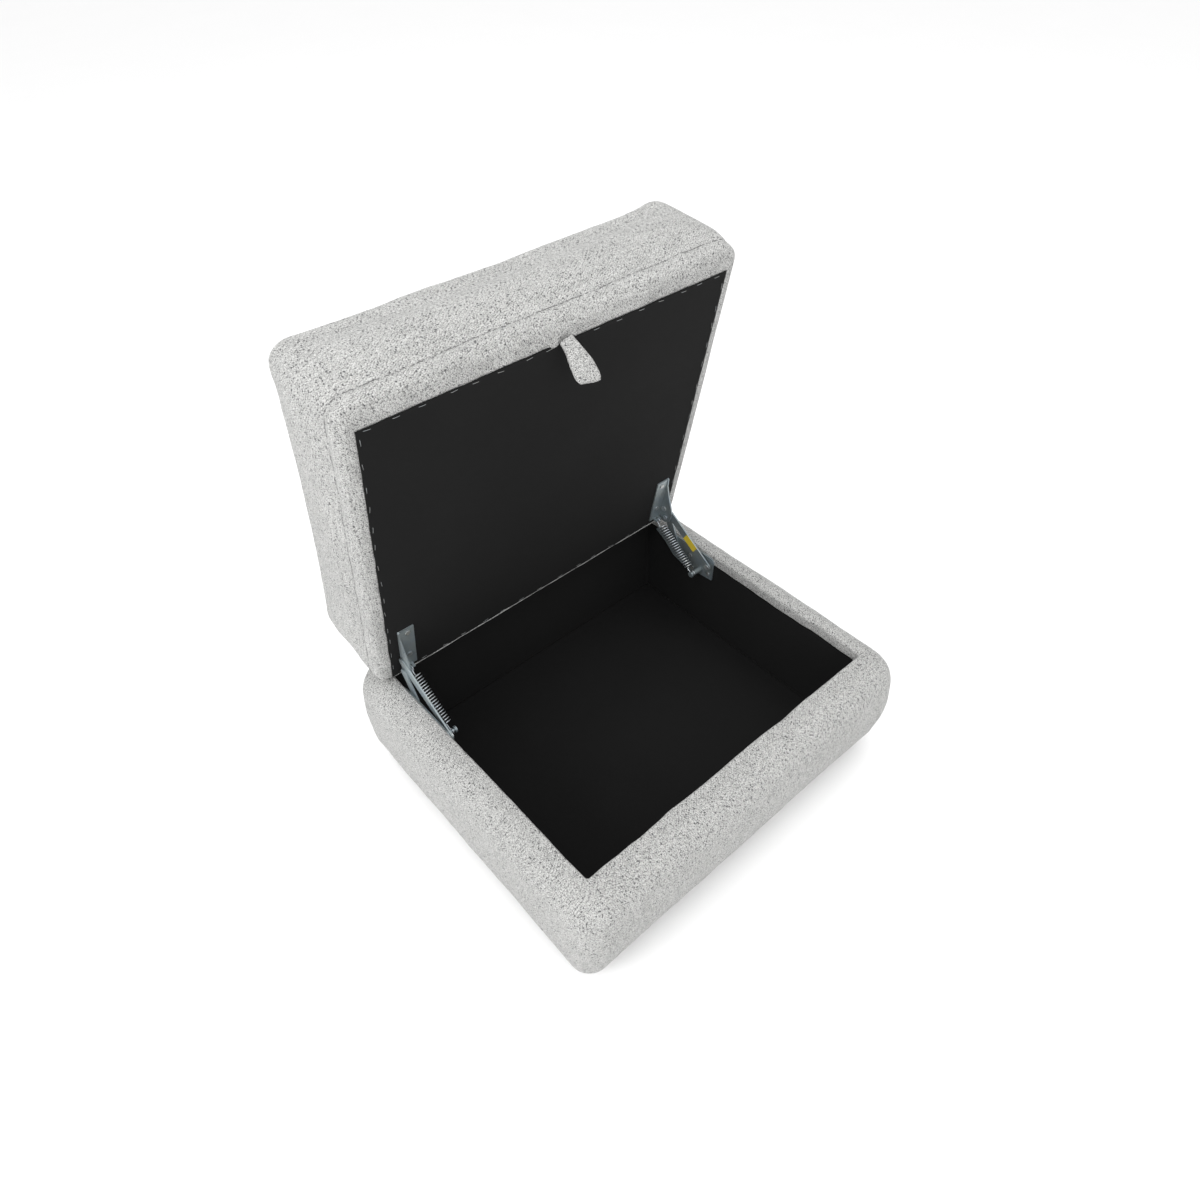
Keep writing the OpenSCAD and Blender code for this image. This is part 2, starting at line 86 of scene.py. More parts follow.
# ---- Material nodes ----
class Nodes:
    """A short way to write a node material."""

    def __init__(self, name):
        self.mat = bpy.data.materials.new(name)
        self.mat.use_nodes = True
        self.tree = self.mat.node_tree
        self.tree.nodes.clear()
        self.out = self.tree.nodes.new("ShaderNodeOutputMaterial")
        self.bsdf = self.tree.nodes.new("ShaderNodeBsdfPrincipled")
        self.link(self.bsdf.outputs[0], self.out.inputs[0])
        self.coord = self.tree.nodes.new("ShaderNodeTexCoord").outputs["Object"]

    def link(self, a, b):
        self.tree.links.new(a, b)

    def put(self, value, socket):
        if hasattr(value, "is_output"):
            self.link(value, socket)
        else:
            socket.default_value = value

    def math(self, op, a, b=0.0, c=0.0, clamp=False):
        n = self.tree.nodes.new("ShaderNodeMath")
        n.operation, n.use_clamp = op, clamp
        for i, v in enumerate((a, b, c)):
            self.put(v, n.inputs[i])
        return n.outputs[0]

    def vec(self, op, a, b):
        n = self.tree.nodes.new("ShaderNodeVectorMath")
        n.operation = op
        self.put(a, n.inputs[0])
        self.put(b, n.inputs["Scale"] if op == "SCALE" else n.inputs[1])
        return n.outputs[0]

    def step(self, value, low, high, to_low=0.0, to_high=1.0):
        n = self.tree.nodes.new("ShaderNodeMapRange")
        n.interpolation_type = "SMOOTHSTEP"
        self.put(value, n.inputs["Value"])
        for k, v in zip(("From Min", "From Max", "To Min", "To Max"), (low, high, to_low, to_high)):
            n.inputs[k].default_value = v
        return n.outputs[0]

    def noise(self, scale, detail=2.0, rough=0.5, vector=None, colour=False):
        n = self.tree.nodes.new("ShaderNodeTexNoise")
        self.link(vector or self.coord, n.inputs["Vector"])
        n.inputs["Scale"].default_value = scale
        n.inputs["Detail"].default_value = detail
        n.inputs["Roughness"].default_value = rough
        return n.outputs["Color" if colour else "Fac"]

    def voronoi(self, scale, vector=None, random_=1.0, feature="F1"):
        n = self.tree.nodes.new("ShaderNodeTexVoronoi")
        n.feature = feature
        self.link(vector or self.coord, n.inputs["Vector"])
        n.inputs["Scale"].default_value = scale
        n.inputs["Randomness"].default_value = random_
        return n

    def channel(self, colour, index):
        n = self.tree.nodes.new("ShaderNodeSeparateColor")
        self.link(colour, n.inputs[0])
        return n.outputs[index]

    def stretch(self, scale, vector=None, rotation=(0, 0, 0)):
        n = self.tree.nodes.new("ShaderNodeMapping")
        self.link(vector or self.coord, n.inputs["Vector"])
        n.inputs["Scale"].default_value = scale
        n.inputs["Rotation"].default_value = rotation
        return n.outputs[0]

    def mix(self, fac, a, b, mode="MIX"):
        n = self.tree.nodes.new("ShaderNodeMix")
        n.data_type, n.blend_type = "RGBA", mode
        self.put(fac, n.inputs["Factor"])
        # Sockets 6 and 7 are the two colours, and output 2 is theirs
        self.put(a, n.inputs[6])
        self.put(b, n.inputs[7])
        return n.outputs[2]

    def bump(self, height, distance, strength=1.0, normal=None):
        n = self.tree.nodes.new("ShaderNodeBump")
        self.link(height, n.inputs["Height"])
        n.inputs["Distance"].default_value = distance
        n.inputs["Strength"].default_value = strength
        if normal is not None:
            self.link(normal, n.inputs["Normal"])
        return n.outputs[0]

    def set(self, **values):
        for k, v in values.items():
            self.put(v, self.bsdf.inputs[k.replace("_", " ")])


def grey(v):
    return v, v, v, 1.0


FABRIC_LOW, FABRIC_HIGH = (0.450, 0.450, 0.440, 1), (0.620, 0.620, 0.607, 1)


def boucle(name, seam=None, rows=(1.0, 1.0, 0.09)):
    """Off-white boucle: small nubs, painted shade in the pits and charcoal slubs between them, fine streaks and
    fibre fuzz.
    seam is the height, in the object's own z, of a line of stitching drawn into the cloth as painted shade with
    a groove. rows says which way
    the streaks run: the axes that they are drawn out along have the small numbers."""
    n = Nodes(name)
    drift = n.vec("SCALE", n.vec("SUBTRACT", n.noise(95, 2, colour=True), (0.5, 0.5, 0.5)), 0.0020)
    p = n.vec("ADD", n.coord, drift)
    # Turned off the axes, so that no flat side lies along a layer of nubs
    turned = n.stretch((1.0, 1.0, 1.0), p, (0.62, 0.48, 0.35))
    nub = n.voronoi(470, turned, 0.66)
    pit = n.voronoi(470, turned, 0.66, "DISTANCE_TO_EDGE")
    loop = n.voronoi(820, p, 1.0)
    crown = n.step(nub.outputs["Distance"], 0.05, 0.70, 1.0, 0.0)
    curl = n.step(loop.outputs["Distance"], 0.1, 0.7, 1.0, 0.0)
    fibre = n.noise(2100, 3, 0.7, p)
    small = n.math("ADD", n.math("MULTIPLY", curl, 0.26), n.math("MULTIPLY", fibre, 0.16))
    height = n.math("ADD", n.math("MULTIPLY", crown, 0.78), small)
    tone = n.mix(n.channel(nub.outputs["Color"], 1), FABRIC_LOW, FABRIC_HIGH)
    # Painted shade in the pits between the nubs, deepest where several meet
    deep = n.math("MULTIPLY", n.step(pit.outputs["Distance"], 0.0, 0.16, 1.0, 0.0),
                  n.step(nub.outputs["Distance"], 0.42, 0.72))
    tone = n.mix(deep, tone, grey(0.075))
    # Charcoal slubs, about one loop in seven
    fleck = n.voronoi(330, n.stretch((1.0, 1.0, 0.8), p, (0.3, 0.5, 0.2)), 1.0)
    dark = n.math("MULTIPLY", n.step(n.channel(fleck.outputs["Color"], 0), 0.12, 0.18, 1.0, 0.0),
                  n.step(fleck.outputs["Distance"], 0.24, 0.50, 1.0, 0.0))
    # Slow patches and fine streaks along the rows
    patch = n.step(n.noise(8, 3, 0.55), 0.3, 0.7, 0.965, 1.015)
    grain = n.step(n.noise(330, 2, 0.6, n.stretch(rows)), 0.3, 0.7, 0.89, 1.06)
    scale = n.math("MULTIPLY", patch, grain)
    both = n.tree.nodes.new("ShaderNodeCombineColor")
    for i in range(3):
        n.link(scale, both.inputs[i])
    tone = n.mix(1.0, tone, both.outputs[0], "MULTIPLY")
    colour = n.mix(n.math("MULTIPLY", dark, 0.88), tone, (0.05, 0.05, 0.054, 1))
    normal = n.bump(height, 0.0018, 0.80)
    if seam is not None:
        place = n.tree.nodes.new("ShaderNodeSeparateXYZ")
        n.link(n.coord, place.inputs[0])
        waver = n.math("MULTIPLY", n.math("SUBTRACT", n.noise(14, 2), 0.5), 0.004)
        off = n.math("ABSOLUTE", n.math("SUBTRACT", n.math("ADD", place.outputs["Z"], waver), seam))
        # Painted shade: the thread sinks between the nubs, so the seam is painted as a broken row of shaded
        # pits
        gap = n.step(n.noise(185, 1, 0.5), 0.40, 0.56, 0.10, 1.0)
        line = n.math("MULTIPLY", n.step(off, 0.0003, 0.0015, 1.0, 0.0), gap)
        colour = n.mix(n.math("MULTIPLY", line, 0.80), colour, grey(0.06))
        trough = n.step(off, 0.0004, 0.0030)
        normal = n.bump(trough, 0.0011, 0.7, normal)
    n.set(Base_Color=colour, Roughness=0.95, Specular_IOR_Level=0.12, Sheen_Weight=0.20, Sheen_Roughness=0.45,
          Normal=normal)
    return n.mat


def felt(name, tone=0.0090):
    """Black spun lining cloth: pressed fibres, a faint dimpled grid and a little dust."""
    n = Nodes(name)
    fibre = n.noise(900, 4, 0.75, n.stretch((1, 2.2, 1), rotation=(0, 0, 0.5)))
    dimple = n.voronoi(420, random_=0.25)
    dust = n.voronoi(130)
    speck = n.step(dust.outputs["Distance"], 0.03, 0.10, 0.5, 0.0)
    patch = n.step(n.noise(7, 3), 0.25, 0.75, 0.82, 1.2)
    low, high = grey(tone * 0.72), grey(tone * 1.35)
    cloth = n.mix(n.math("MULTIPLY", fibre, patch), low, high)
    colour = n.mix(n.math("MULTIPLY", speck, 0.06), cloth, grey(0.16))
    height = n.math("ADD", n.math("MULTIPLY", fibre, 0.7), n.math("MULTIPLY", dimple.outputs["Distance"], 0.5))
    n.set(Base_Color=colour, Roughness=0.93, Specular_IOR_Level=0.1, Sheen_Weight=0.02,
          Normal=n.bump(height, 0.0004, 0.5))
    return n.mat


def plated(name, tone, rough=0.3, brush=(1, 1, 9), metal=0.85):
    """Zinc-plated steel: rolled grain, soft blotches of passivation and dulled patches."""
    n = Nodes(name)
    grain = n.noise(170, 3, 0.6, n.stretch(brush))
    blotch = n.noise(45, 3, 0.6)
    fine = n.noise(900, 2, 0.5)
    cool = (tone[0] * 0.90, tone[1] * 0.97, tone[2] * 1.0, 1)
    warm = (tone[0] * 1.03, tone[1] * 1.03, tone[2] * 0.95, 1)
    colour = n.mix(n.step(blotch, 0.35, 0.65), cool, warm)
    colour = n.mix(n.step(grain, 0.35, 0.75), colour, (tone[0] * 0.80, tone[1] * 0.82, tone[2] * 0.85, 1))
    roughness = n.math("ADD", n.math("MULTIPLY", grain, 0.16), n.math("MULTIPLY", blotch, 0.12))
    roughness = n.math("ADD", roughness, rough - 0.12)
    height = n.math("ADD", n.math("MULTIPLY", grain, 0.6), n.math("MULTIPLY", fine, 0.3))
    n.set(Base_Color=colour, Metallic=metal, Roughness=roughness, Normal=n.bump(height, 0.0001, 0.3))
    return n.mat


def timber(name, light, dark, along=(1.2, 14, 14)):
    """Sawn wood: long grain, pores and a few darker bands."""
    n = Nodes(name)
    flow = n.stretch(along)
    band = n.noise(9, 4, 0.6, flow)
    pore = n.noise(120, 3, 0.7, flow)
    colour = n.mix(n.step(band, 0.35, 0.7), light, dark)
    colour = n.mix(n.step(pore, 0.55, 0.8, 0.0, 0.5), colour, (dark[0] * 0.5, dark[1] * 0.5, dark[2] * 0.5, 1))
    n.set(Base_Color=colour, Roughness=0.72, Specular_IOR_Level=0.3, Normal=n.bump(pore, 0.0004, 0.4))
    return n.mat


def plastic(name, tone, rough=0.5):
    """Moulded plastic or film: fine texture, scuffs and a little fade."""
    n = Nodes(name)
    fine = n.noise(1400, 2)
    scuff = n.noise(60, 4, 0.7, n.stretch((1, 3, 1)))
    fade = tuple(min(1.0, c * 1.25 + 0.01) for c in tone[:3]) + (1,)
    colour = n.mix(n.step(scuff, 0.5, 0.8, 0.0, 0.7), tone, fade)
    n.set(Base_Color=colour, Roughness=n.step(scuff, 0.3, 0.8, rough - 0.06, rough + 0.14),
          Normal=n.bump(fine, 0.0001, 0.3))
    return n.mat


FABRIC = boucle("boucle")
FABRIC_LID = boucle("boucle_with_seam", SEAM, (0.09, 0.09, 1.0))
LINING = felt("lining_cloth")
STEEL = plated("zinc_plate", (0.30, 0.335, 0.355), 0.42, metal=0.62)
RIVET = plated("rivet_steel", (0.58, 0.60, 0.63), 0.36, (1, 1, 1), 0.8)
WIRE = plated("spring_wire", (0.70, 0.72, 0.75), 0.30, (1, 1, 1), 0.8)
# Painted shade: a dark copy of the spring wire for the inner side of the turns
WIRE_INNER_SHADE = plated("spring_wire_painted_shade", (0.045, 0.047, 0.050), 0.50, (1, 1, 1), 0.4)
SCREW = plated("screw_steel", (0.52, 0.52, 0.52), 0.36, (1, 1, 1), 0.8)
STAPLE = plated("staple_wire", (0.29, 0.29, 0.29), 0.40, (1, 1, 1), 0.7)
PLY = timber("plywood", (0.62, 0.46, 0.28, 1), (0.44, 0.30, 0.16, 1))
PINE = timber("pine", (0.68, 0.50, 0.29, 1), (0.52, 0.33, 0.16, 1), (10, 10, 1.2))
LABEL = plastic("label_film", (0.74, 0.56, 0.04, 1), 0.38)
GLIDE = plastic("glide_plastic", (0.018, 0.018, 0.018, 1), 0.45)


# ---- Mesh helpers ----
def piece(name, verts, faces, mat, matrix=None):
    mesh = bpy.data.meshes.new(name)
    mesh.from_pydata([tuple(v) for v in verts], [], [tuple(f) for f in faces])
    mesh.materials.append(mat)
    mesh.polygons.foreach_set("use_smooth", [True] * len(mesh.polygons))
    mesh.update()
    o = bpy.data.objects.new(name, mesh)
    scene.collection.objects.link(o)
    if matrix is not None:
        o.matrix_world = matrix
    bpy.context.view_layer.update()
    return o


def apply_modifiers(o):
    dg = bpy.context.evaluated_depsgraph_get()
    mesh = bpy.data.meshes.new_from_object(o.evaluated_get(dg))
    old = o.data
    o.modifiers.clear()
    o.data = mesh
    bpy.data.meshes.remove(old)
    o.data.polygons.foreach_set("use_smooth", [True] * len(o.data.polygons))


def subdivide(o, levels, kind="CATMULL_CLARK"):
    sub = o.modifiers.new("sub", "SUBSURF")
    sub.subdivision_type, sub.levels, sub.render_levels = kind, levels, levels
    apply_modifiers(o)


def thicken(o):
    thick = o.modifiers.new("thick", "SOLIDIFY")
    thick.thickness, thick.offset = CLOTH, 0.0
    apply_modifiers(o)


def coords(o):
    a = np.zeros(len(o.data.vertices) * 3)
    o.data.vertices.foreach_get("co", a)
    return a.reshape(-1, 3)


def set_coords(o, a):
    o.data.vertices.foreach_set("co", a.reshape(-1))
    o.data.update()


def normals(o):
    a = np.zeros(len(o.data.vertices) * 3)
    o.data.vertices.foreach_get("normal", a)
    return a.reshape(-1, 3)


def ripple(points, scale, seed):
    """Smooth noise from about -1 to 1 at each point."""
    off = Vector((seed * 7.31, seed * 3.17, seed * 5.03))
    return np.array([noise.noise(Vector(p) * scale + off) for p in points]) * 1.6


def smooth01(t):
    """A soft step from 0 to 1 as t goes from 0 to 1."""
    t = np.clip(t, 0, 1)
    return t * t * (3 - 2 * t)


def loop_path(x0, x1, y0, y1, r, corner=12, edge=44):
    """A rectangle with round corners, as points that match one another from one call to the next."""
    pts = []
    quads = (((x1 - r, y0 + r), -90), ((x1 - r, y1 - r), 0), ((x0 + r, y1 - r), 90), ((x0 + r, y0 + r), 180))
    for k, ((cx, cy), a0) in enumerate(quads):
        for i in range(corner + 1):
            a = math.radians(a0 + 90 * i / corner)
            pts.append((cx + r * math.cos(a), cy + r * math.sin(a)))
        nxt = quads[(k + 1) % 4]
        a1 = math.radians(nxt[1])
        end = (nxt[0][0] + r * math.cos(a1), nxt[0][1] + r * math.sin(a1))
        start = pts[-1]
        for i in range(1, edge):
            t = i / edge
            pts.append((start[0] + (end[0] - start[0]) * t, start[1] + (end[1] - start[1]) * t))
    return pts


def strip(rings, closed=False):
    """Quads between rings of the same number of points. When closed, the last ring joins the first."""
    n, count = len(rings[0]), len(rings)
    faces = []
    for k in range(count if closed else count - 1):
        this, after = k * n, (k + 1) % count * n
        for i in range(n):
            j = (i + 1) % n
            faces.append((this + i, this + j, after + j, after + i))
    return [p for ring in rings for p in ring], faces


def capped(rings):
    """A strip with a face over its first ring and its last."""
    n = len(rings[0])
    verts, faces = strip(rings)
    faces.append(tuple(range(n - 1, -1, -1)))
    faces.append(tuple((len(rings) - 1) * n + i for i in range(n)))
    return verts, faces


# ---- Base cover ----
def by_mouth(co, out):
    """Which points lie over the opening or within out of it."""
    return (np.abs(co[:, 0]) < OPEN_X + out) & (co[:, 1] > OPEN_FRONT - out) & (co[:, 1] < OPEN_BACK + out)


def make_base():
    half = 0.325
    rings = []

    def outer(inset, z):
        """A ring round the outside, with corners that grow rounder with height."""
        upper = min(max((z - FOOT - 0.05) / 0.12, 0), 1)
        r = max(0.032 + 0.014 * upper - 0.6 * inset, 0.011)
        path = loop_path(-half + inset, half - inset, base_lo.y + inset, base_hi.y - inset, r)
        rings.append([(x, y, z) for x, y in path])

    def mouth(out, r):
        return loop_path(-OPEN_X - out, OPEN_X + out, OPEN_FRONT - out, OPEN_BACK + out, r)

    def inner(out, r, z):
        """A ring round the opening."""
        rings.append([(x, y, z) for x, y in mouth(out, r)])

    # Hem under the base, the lower edge, the bulging wall and the upper edge
    for inset in (0.062, 0.052, 0.044):
        outer(inset, FOOT + 0.0004)
    low_r, low_h, top_r, top_h = 0.034, 0.042, 0.040, 0.048
    for i in range(0, 13):
        a = math.radians(90 * i / 12)
        outer(low_r * (1 - math.sin(a)) + 0.004 * math.cos(a) ** 0.5 + 0.0012,
              FOOT + low_h * (1 - math.cos(a)) + 0.0004)
    wall0, wall1 = FOOT + low_h, RIM - top_h
    for i in range(1, 18):
        t = i / 18
        belly = math.sin(math.pi * t)
        outer(0.0012 * (1 - belly) - 0.0008 * belly, wall0 + (wall1 - wall0) * t)
    for i in range(0, 14):
        a = math.radians(90 * i / 13)
        outer(0.0012 + (top_r - 0.0012) * (1 - math.cos(a)), wall1 + top_h * math.sin(a))
    # Over the rim to the opening, whose corners are nearly square
    brink, inner_r, dip = rings[-1], 0.006, 0.0006
    for i in range(1, 7):
        t = i / 6
        rings.append([(p[0] + (q[0] - p[0]) * t, p[1] + (q[1] - p[1]) * t, RIM - dip * t * t)
                      for p, q in zip(brink, mouth(inner_r, 0.010))])
    for i in range(1, 9):
        a = math.radians(90 * i / 8)
        out = inner_r * (1 - math.sin(a))
        inner(out, 0.004 + out, RIM - dip - inner_r * (1 - math.cos(a)))
    for down in (0.011, 0.0155, 0.0195):
        inner(0.0, 0.004, RIM - down)
    # Turned back on itself at its lower edge
    for out, down in ((0.0006, 0.0206), (0.0011, 0.0195), (0.0011, 0.012)):
        inner(out, 0.005, RIM - down)
    # The padding's hidden side, over the frame's top edge, down its outside and back to the hem under the base
    panel, under = 0.0185, 0.032
    for out, z in ((panel, RIM - 0.0118), (panel, FOOT + 0.0020), (panel - under, FOOT + 0.0020)):
        inner(out, 0.010, z)
    o = piece("base_upholstery", *strip(rings, closed=True), FABRIC)
    subdivide(o, 1, "SIMPLE")
    co, no = coords(o), normals(o)
    # The foot is drawn in, most of all at the front
    foot = 1 - smooth01((co[:, 2] - FOOT) / 0.13)
    co[:, 1] += 0.0150 * foot * smooth01((-co[:, 1] - 0.20) / 0.10)
    co[:, 0] -= 0.0050 * foot * np.sign(co[:, 0]) * smooth01((np.abs(co[:, 0]) - 0.20) / 0.10)
    # Slow unevenness of the padding and gentle pulls, less at the mouth and none against the frame
    wave = ripple(co, 6.0, 1) * 0.0011 + ripple(co, 17.0, 2) * 0.0006 + ripple(co, 52.0, 3) * 0.00028
    free = smooth01((co[:, 2] - FOOT - 0.001) / 0.03)
    free[by_mouth(co, 0.007)] *= 0.35
    free[by_mouth(co, panel + 0.001) & (co[:, 2] < RIM - 0.0110)] = 0
    co = co + no * (wave * free)[:, None]
    # Low enough along the rim for the shut lid's lining to lie on it without cutting in
    high = RIM - 0.0016
    co[:, 2] = np.where(co[:, 2] > high, high + 0.25 * (co[:, 2] - high), co[:, 2])
    # The pulled-in edge wanders round the mouth, but not where the hinge plates stand
    top = smooth01((co[:, 2] - RIM + 0.045) / 0.02)
    beside = (co[:, 1] > OPEN_FRONT - 0.02) & (co[:, 1] < OPEN_BACK)
    beside = beside * (1 - smooth01((co[:, 1] + 0.02) / 0.03))
    before = np.abs(co[:, 0]) < OPEN_X + 0.02
    edges = [(0, 1, OPEN_X, beside), (0, -1, OPEN_X, beside), (1, -1, -OPEN_FRONT, before)]
    for k, (axis, side, edge, share) in enumerate(edges):
        past = co[:, axis] * side - edge
        near = np.exp(-(np.maximum(past, 0) / 0.022) ** 2) * (past > -0.006) * share * top
        wander = np.array([0.0024 * noise.noise(Vector((a * 13, 3.3 + k, 0)))
                           + 0.0010 * noise.noise(Vector((a * 42, 7.7 + k, 0))) for a in co[:, 1 - axis]])
        co[:, axis] -= side * near * (wander + 0.0006)
    set_coords(o, co)
    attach(o, "base")
    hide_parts("base_cover", "foam_front", "foam_back", "foam_left", "foam_right")


make_base()


# ---- Lid cushion ----
def lid_solid(inset):
    """The lid's closed form in its own frame, drawn in by inset, before it is inflated."""
    x0, x1, y0, y1 = -LID_X + inset, LID_X - inset, -LID_FRONT + inset, LID_BACK - inset
    low, high = 0.0005, LID_T - inset
    rings = []

    def ring(d, w, r):
        rings.append([(x, y, w) for x, y in loop_path(x0 + d, x1 - d, y0 + d, y1 - d, r, 10, 30)])

    foot, seat = 0.013, 0.022
    for d in (0.24, 0.20, 0.15, 0.10, 0.06, 0.035, 0.020):
        ring(d, low, 0.012)
    for i in range(0, 9):
        a = math.radians(90 * i / 8)
        ring(foot * (1 - math.sin(a)), low + foot * (1 - math.cos(a)), 0.014 + 0.008 * math.sin(a))
    for i in range(1, 10):
        t = i / 10
        ring(0.0, low + foot + (high - seat - low - foot) * t, 0.022 + 0.012 * t)
    for i in range(0, 10):
        a = math.radians(90 * i / 9)
        d = seat * (1 - math.cos(a))
        ring(d, high - seat + seat * math.sin(a), max(0.034 - 0.7 * d, 0.014))
    # The seat is crowned a little
    for d in (0.05, 0.08, 0.12, 0.16, 0.20, 0.24):
        ring(d, high + 0.004 * float(smooth01((d - 0.022) / 0.2)), 0.012)
    return capped(rings)


def inflate(o, hold, pressure, cap, frames=20):
    """Blender's cloth with air pressure. hold is the share of each point that stays put, and cap the most that
    a point may move."""
    start = coords(o)
    group = o.vertex_groups.new(name="hold")
    for i, w in enumerate(hold):
        if w > 0:
            group.add([i], float(w), "REPLACE")
    cloth = o.modifiers.new("cloth", "CLOTH")
    s = cloth.settings
    s.quality = 5
    s.mass = 0.3
    s.use_pressure = True
    s.uniform_pressure_force = pressure
    s.tension_stiffness = s.compression_stiffness = 22
    s.shear_stiffness = 12
    s.bending_stiffness = 3.0
    s.air_damping = 2
    s.effector_weights.gravity = 0
    s.vertex_group_mass = "hold"
    s.pin_stiffness = 4
    cloth.collision_settings.use_collision = False
    cloth.point_cache.frame_start, cloth.point_cache.frame_end = 1, frames
    for f in range(1, frames + 1):
        scene.frame_set(f)
    apply_modifiers(o)
    scene.frame_set(1)
    o.vertex_groups.clear()
    move = coords(o) - start
    far = np.linalg.norm(move, axis=1)
    set_coords(o, start + move * np.minimum(1.0, cap / np.maximum(far, 1e-9))[:, None])


def make_lid():
    o = piece("lid_cushion", *lid_solid(0.0025), FABRIC_LID, LID)
    remesh = o.modifiers.new("remesh", "REMESH")
    remesh.mode, remesh.voxel_size = "VOXEL", 0.006
    apply_modifiers(o)
    # The board holds the underside flat, and the hold fades out 46 mm above it
    hold = np.clip(1.0 - (coords(o)[:, 2] - 0.006) / 0.04, 0, 1)
    inflate(o, hold, pressure=4.0, cap=0.007)
    smooth = o.modifiers.new("smooth", "LAPLACIANSMOOTH")
    smooth.iterations, smooth.lambda_factor = 2, 0.3
    subdivide(o, 1)
    co, no = coords(o), normals(o)
    side = smooth01((co[:, 2] - 0.010) / 0.012) * smooth01((0.13 - co[:, 2]) / 0.03)
    # The seam between the band and the top is drawn in, with the cloth puckering either side of it
    edge = np.abs(co[:, 2] - SEAM)
    groove = -0.0005 * np.exp(-(edge / 0.0045) ** 2)
    roll = 0.0004 * np.exp(-((edge - 0.011) / 0.007) ** 2)
    pucker = 0.0006 * ripple(co * np.array([1, 1, 0.25]), 55.0, 6) * np.exp(-(edge / 0.022) ** 2)
    wave = ripple(co, 5.0, 7) * 0.0012 + ripple(co, 15.0, 8) * 0.0007 + ripple(co, 50.0, 9) * 0.0003
    up = smooth01((co[:, 2] - 0.002) / 0.012)
    # The pull tab's root drags the border down beside it
    drag = np.exp(-((co[:, 0] + 0.0150) / 0.011) ** 2 - ((co[:, 1] + 0.500) / 0.012) ** 2
                  - (co[:, 2] / 0.01) ** 2)
    moved = co + no * (((groove + roll + pucker) * side + wave * up)[:, None])
    moved[:, 2] -= 0.0030 * drag
    # The seat's corners are stuffed fuller, except the front right one
    out = smooth01((co[:, 2] - 0.02) / 0.12) * smooth01((np.abs(co[:, 0]) - 0.15) / 0.15)
    back = np.exp(-((co[:, 1] - LID_BACK) / 0.16) ** 2)
    front = np.exp(-((co[:, 1] + LID_FRONT) / 0.13) ** 2) * (co[:, 0] < 0)
    moved[:, 0] += np.sign(co[:, 0]) * out * (0.0055 * back + 0.0060 * front)
    # The back corners reach a little further back
    heel = smooth01((co[:, 2] - 0.08) / 0.06) * smooth01((np.abs(co[:, 0]) - 0.12) / 0.14)
    moved[:, 1] += 0.0080 * heel * np.exp(-((co[:, 1] - LID_BACK) / 0.05) ** 2)
    # The right side bellies a little over the lining's edge
    belly = smooth01((co[:, 0] - 0.288) / 0.014) * smooth01((0.14 - co[:, 2]) / 0.06)
    moved[:, 0] += belly * (0.0036 + 0.0010 * ripple(co, 11.0, 21))
    # The front right corner slumps outwards, and its edge by the lining is rounder
    slump = smooth01((co[:, 2] - 0.012) / 0.05) * smooth01((co[:, 0] - 0.19) / 0.09)
    moved[:, 0] += 0.0075 * slump * np.exp(-((co[:, 1] + LID_FRONT) / 0.09) ** 2)
    soft = np.exp(-((co[:, 0] - LID_X) / 0.032) ** 2 - ((co[:, 1] + LID_FRONT) / 0.03) ** 2
                  - (co[:, 2] / 0.03) ** 2)
    moved[:, 1] += 0.0055 * soft
    # The seat's front edge is drawn back, except at the right corner
    seat = smooth01((co[:, 2] - 0.06) / 0.08) * np.exp(-((co[:, 1] + LID_FRONT) / 0.08) ** 2)
    moved[:, 1] += seat * (0.0040 - 0.0065 * np.exp(-((co[:, 0] - LID_X + 0.01) / 0.050) ** 2))
    set_coords(o, moved)
    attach(o, "lid")
    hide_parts("lid_cover_top", "lid_cover_band", "lid_wadding", "lid_foam")


make_lid()


# ---- Linings ----
def make_lid_lining():
    """The cloth under the lid, with wavering cut edges and small puffs between the staples."""
    wide, deep = 2 * LINING_X, LINING_FRONT - LINING_BACK
    nx, ny = 190, 164
    verts = []
    for j in range(ny + 1):
        for i in range(nx + 1):
            u, v = i / nx, j / ny
            x, y = -LINING_X + wide * u, -LINING_FRONT + deep * v
            edge = min(u, 1 - u) * wide, min(v, 1 - v) * deep
            x += 0.0010 * noise.noise(Vector((y * 34, 3.1 if u < 0.5 else 8.2, 0))) * math.exp(-edge[0] / 0.01)
            y += 0.0011 * noise.noise(Vector((x * 34, 1.7 if v < 0.5 else 5.9, 0))) * math.exp(-edge[1] / 0.01)
            near = math.exp(-(min(edge) / 0.012) ** 2)
            puff = abs(noise.noise(Vector((x * 26, y * 26, 2.0)))) * 0.0006 * (0.35 + 0.65 * near)
            slack = 0.0005 * noise.noise(Vector((x * 5, y * 5, 6.0)))
            verts.append((x, y, -0.00075 - puff - slack * (1 - near)))
    w = nx + 1
    faces = [(j * w + i, (j + 1) * w + i, (j + 1) * w + i + 1, j * w + i + 1)
             for j in range(ny) for i in range(nx)]
    o = piece("lid_lining_cloth", verts, faces, LINING, LID)
    thicken(o)
    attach(o, "lid")
    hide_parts("lid_lining")


